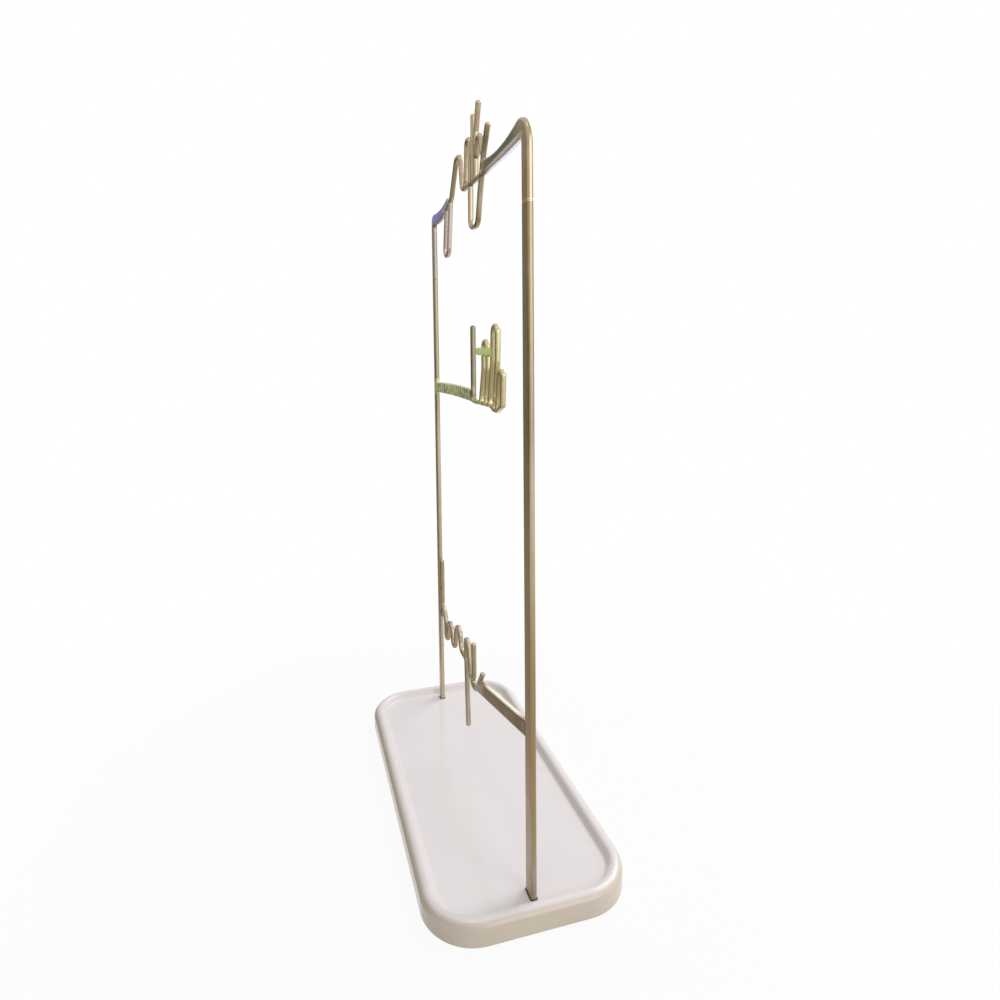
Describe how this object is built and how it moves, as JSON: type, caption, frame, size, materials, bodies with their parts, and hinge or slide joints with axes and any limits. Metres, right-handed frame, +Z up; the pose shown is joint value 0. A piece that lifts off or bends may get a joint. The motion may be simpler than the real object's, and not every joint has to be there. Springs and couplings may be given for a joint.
{
  "type": "jewelry stand",
  "caption": "Free-standing jewelry stand: a shallow glazed tray with two upright flat-bar posts and scrolled metal cross bars for hanging things.",
  "frame": {"origin": "middle of the footprint, on the surface the stand rests on", "axes": "+Z up, +X along the tray from the stepped post to the plain post, front of the frame faces -Y"},
  "size_m": [0.258, 0.125, 0.484],
  "materials": {
    "white_glaze": "smooth white glaze over fired clay",
    "satin_gold_post": "satin champagne-gold plate on flat bar",
    "satin_gold_bar": "satin champagne-gold plate on cut scrolled plate",
    "inner_steel": "plain zinc-plated steel",
    "black_rubber": "matt black moulded rubber",
    "clear_rubber": "soft milky rubber"
  },
  "bodies": {
    "stand": {"tray": "white_glaze", "left_post_lower": "satin_gold_post", "left_post_upper": "satin_gold_post", "right_post": "satin_gold_post", "middle_bar": "satin_gold_bar", "bottom_bar": "satin_gold_bar", "hub_tongue": "inner_steel", "left_tongue": "inner_steel", "right_tongue": "inner_steel", "left_sleeve": "black_rubber", "right_sleeve": "black_rubber", "left_washer": "inner_steel", "right_washer": "inner_steel", "left_nut": "inner_steel", "right_nut": "inner_steel", "front_left_foot": "clear_rubber", "front_right_foot": "clear_rubber", "back_left_foot": "clear_rubber", "back_right_foot": "clear_rubber"},
    "top_section": {"top_bar": "satin_gold_bar"}
  },
  "joints": [
    {"name": "top_section_lift", "type": "slide", "parent": "stand", "child": "top_section", "axis": [0, 0, 1], "range_m": [0, 0.008]}
  ]
}
